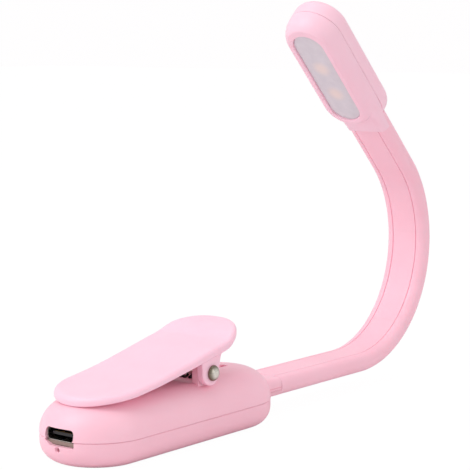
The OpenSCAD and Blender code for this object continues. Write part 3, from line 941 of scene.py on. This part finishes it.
def front_bezel():
    """The head's lit half, with its window and the saddle over the neck."""
    bezel = pill("front_bezel", head_l - bezel_trim, head_w, front_profile(), trimmed(bezel_trim))
    cut(bezel, saddle("saddle"), how="UNION")
    cut(bezel, head_core("core_c", bezel_trim), lens_cutter("window"), neck_slot("neck_c"))
    finish_piece(bezel, pink_head)
    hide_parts("head_front_bezel")
    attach(bezel, "head")


def rear_shell():
    """The head's rear half, with the button's well."""
    rear = pill("rear_shell", head_l, head_w, rear_profile(), head_place)
    well = [(3.7, -head_back - 1), (3.7, -head_back), (3.25, -head_back + 0.35), (3.25, -head_back + 3)]
    cut(rear, head_core("core_d"), neck_slot("neck_d"), lathe("well", well, button_place))
    finish_piece(rear, pink_head)
    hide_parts("head_rear_shell")
    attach(rear, "head")


def light_window():
    """The milky sheet: a flange behind the opening, an eased edge and a slightly domed face."""
    flange, fit = 0.75, 0.03
    steps = [(-1.7, flange), (-1.12, flange), (-1.1, fit), (-0.2, fit), (-0.06, -0.1), (-0.02, -0.25),
             (0.05, -1.6), (0.08, -lens_w / 4)]
    half, r = lens_l / 2 - lens_w / 2, lens_w / 2
    rings = [stadium(half, r + grow, lens_top + rise) for rise, grow in steps]
    lens = loft("light_window", rings, place=lens_place)
    finish_piece(lens, milky)
    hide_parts("diffuser_lens")
    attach(lens, "head")


def touch_button():
    """The push button on a stem, with a shallow dish in its face."""
    stem_r, cap_r, edge_r = 1.4, 3.0, 0.3
    cap = [(stem_r, -2.7), (stem_r, -head_back + 1.2), (cap_r, -head_back + 1.2), (cap_r, -head_back + 0.5)]
    cap += [(cap_r - edge_r + edge_r * c, -head_back + 0.45 - edge_r * s) for c, s in quarter(4)]
    cap += [(1.6, -head_back + 0.12), (0.6, -head_back + 0.16), (0.2, -head_back + 0.17)]
    button = lathe("touch_button", cap[::-1], button_place, 56)
    finish_piece(button, pink_head)
    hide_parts("power_button")
    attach(button, "button")


# ---------------------------------------------------------------- port details

def port_shell():
    """The socket's steel shell, from its outer rim through its mouth to its back."""
    x_front, x_back = shell_low[0], shell_high[0]
    rings = []
    for x, smaller, r in ((x_front + 0.12, 0.0, 1.25), (x_front, 0.2, 1.15), (x_front + 0.02, 0.42, 1.0),
                          (x_front + 0.3, 0.6, 0.9), (x_back - 0.3, 0.6, 0.9), (x_back, 0.0, 1.25)):
        outline = slot_outline(port_w - smaller, port_h - smaller, r)
        rings.append([(x, y, port_z + z) for y, z in outline])
    shell = loft("port_shell", rings, wrap=True)
    finish_piece(shell, port_steel, 40)
    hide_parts("usb_c_shell")
    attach(shell, "base")


def port_contacts():
    """Twelve gilt contacts on each face of the socket's tongue."""
    tongue_low = node_box("usb_c_tongue")[0]
    size = Vector((3.0, 0.26, 0.04))
    half = Vector((0.5, 0.5, 0.5))
    bm = bmesh.new()
    for face in (-1, 1):
        for i in range(12):
            low = Vector((tongue_low[0] + 0.35, -2.88 + 0.5 * i, port_z + face * 0.36 - 0.02))
            for v in bmesh.ops.create_cube(bm, size=1)["verts"]:
                v.co = (low + (v.co + half) * size) * MM
    contacts = new_object("port_contacts", bm)
    finish_piece(contacts, gold)
    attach(contacts, "base")


# ---------------------------------------------------------------- CAD nodes that show as they are

PLAIN_NODES = {
    "usb_c_tongue": black_plastic, "charge_board": board_tan, "board_components": black_plastic,
    "charge_led": white_plastic, "indicator_light_pipe": pipe_red, "casing_screws": screw_steel,
    "battery_cell": foil, "battery_pad": foam_dark, "battery_leads": lead_red,
    "base_lamp_leads": lead_white, "wire_crimp_bar": screw_steel, "head_crimp_bar": screw_steel,
    "jaw_pad": pink_rubber, "reflector_tray": white_plastic, "led_board": white_plastic,
    "led_chips": phosphor, "tactile_switch": black_plastic,
}


def dress_plain_nodes():
    """Gives the CAD nodes that stay, most of them inside the lamp, their materials."""
    dress = dict(PLAIN_NODES)
    for k in range(9):
        dress[f"neck_wires_{k}"] = core_metal
        dress[f"neck_leads_{k}"] = lead_white
    for name, material in dress.items():
        nodes[name].data.materials.clear()
        nodes[name].data.materials.append(material)


# ---------------------------------------------------------------- floor, light and camera

def stage_floor():
    """A white sheet that the camera sees almost evenly lit, and that throws light back up."""
    bm = bmesh.new()
    bmesh.ops.create_grid(bm, x_segments=2, y_segments=2, size=3.0)
    floor = new_object("floor", bm)
    m, tree, shader, where = nodes_of("pale_floor")
    grain = noise(tree, where, 60, 3)
    tree.links.new(tint(tree, grain.outputs["Fac"], (0.8, 0.78, 0.785), (0.84, 0.82, 0.825)),
                   shader.inputs["Base Color"])
    shader.inputs["Roughness"].default_value = 0.9
    shader.inputs["Specular IOR Level"].default_value = 0.1
    glow = tree.nodes.new("ShaderNodeEmission")
    glow.inputs["Strength"].default_value = 1.02
    rays = tree.nodes.new("ShaderNodeLightPath")
    seen = tree.nodes.new("ShaderNodeMapRange")
    seen.inputs["To Max"].default_value = 0.96
    tree.links.new(rays.outputs["Is Camera Ray"], seen.inputs["Value"])
    mix = tree.nodes.new("ShaderNodeMixShader")
    tree.links.new(seen.outputs["Result"], mix.inputs["Fac"])
    tree.links.new(shader.outputs["BSDF"], mix.inputs[1])
    tree.links.new(glow.outputs["Emission"], mix.inputs[2])
    tree.links.new(mix.outputs["Shader"], tree.nodes["Material Output"].inputs["Surface"])
    floor.data.materials.append(m)


def area_light(name, at, size, power, aim, colour=(1, 1, 1)):
    """A lamp panel at one place, turned towards another."""
    data = bpy.data.lights.new(name, "AREA")
    data.shape = "RECTANGLE"
    data.size, data.size_y = size
    data.energy = power
    data.color = colour
    light = bpy.data.objects.new(name, data)
    bpy.context.scene.collection.objects.link(light)
    light.location = at
    light.rotation_euler = (Vector(aim) - Vector(at)).to_track_quat("-Z", "Y").to_euler()


AZ, EL = math.radians(-51.51), math.radians(7.01)
BACK = Vector((math.sin(AZ) * math.cos(EL), -math.cos(AZ) * math.cos(EL), math.sin(EL)))
RIGHT = Vector((math.cos(AZ), math.sin(AZ), 0))
AIM = Vector((0.03085, 0, 0.0498))
DISTANCE, VIEW_WIDTH = 0.45114, 0.125333


def from_camera(right, up, towards):
    """A place beside the lamp, as the camera sees it: to its right, above it and nearer."""
    return AIM + RIGHT * right + Vector((0, 0, up)) + BACK * towards


def studio_lights():
    area_light("key", from_camera(-0.45, 0.5, 0.22), (0.42, 0.42), 1.85, AIM, (1.0, 0.985, 1.0))
    area_light("top", from_camera(0.0, 0.7, -0.1), (0.6, 0.6), 0.7, AIM, (1.0, 0.98, 1.0))
    area_light("low_left", from_camera(-0.6, 0.02, 0.12), (0.4, 0.4), 0.5, AIM, (1.0, 0.985, 1.0))
    area_light("fill", from_camera(0.6, 0.2, 0.45), (0.5, 0.6), 0.6, AIM)


def studio_world():
    """A white surround: the camera sees it at full strength, and it lights the lamp with less."""
    world = bpy.data.worlds.new("studio")
    bpy.context.scene.world = world
    world.use_nodes = True
    tree = world.node_tree
    sky = tree.nodes["Background"]
    sky.inputs["Color"].default_value = (1.0, 0.99, 0.995, 1)
    rays = tree.nodes.new("ShaderNodeLightPath")
    level = tree.nodes.new("ShaderNodeMapRange")
    level.inputs["To Min"].default_value = 0.73
    level.inputs["To Max"].default_value = 1.0
    tree.links.new(rays.outputs["Is Camera Ray"], level.inputs["Value"])
    tree.links.new(level.outputs["Result"], sky.inputs["Strength"])


def studio_camera():
    """A long lens, whose view is VIEW_WIDTH wide at the lamp."""
    scene = bpy.context.scene
    scene.view_settings.view_transform = "Standard"
    scene.view_settings.look = "None"
    data = bpy.data.cameras.new("camera")
    camera = bpy.data.objects.new("camera", data)
    scene.collection.objects.link(camera)
    camera.location = AIM + BACK * DISTANCE
    camera.rotation_euler = (-BACK).to_track_quat("-Z", "Y").to_euler()
    data.sensor_width = 36
    data.lens = data.sensor_width * DISTANCE / VIEW_WIDTH
    data.clip_start = 0.01
    data.clip_end = 20
    data.dof.use_dof = False
    scene.camera = camera


# ---------------------------------------------------------------- the lamp and its stage

lower_casing()
upper_casing()
clip_plate()
hinge_rivet()
torsion_coil()
neck_root()
neck_skins()
front_bezel()
rear_shell()
light_window()
touch_button()
port_shell()
port_contacts()
dress_plain_nodes()
stage_floor()
studio_lights()
studio_world()
studio_camera()
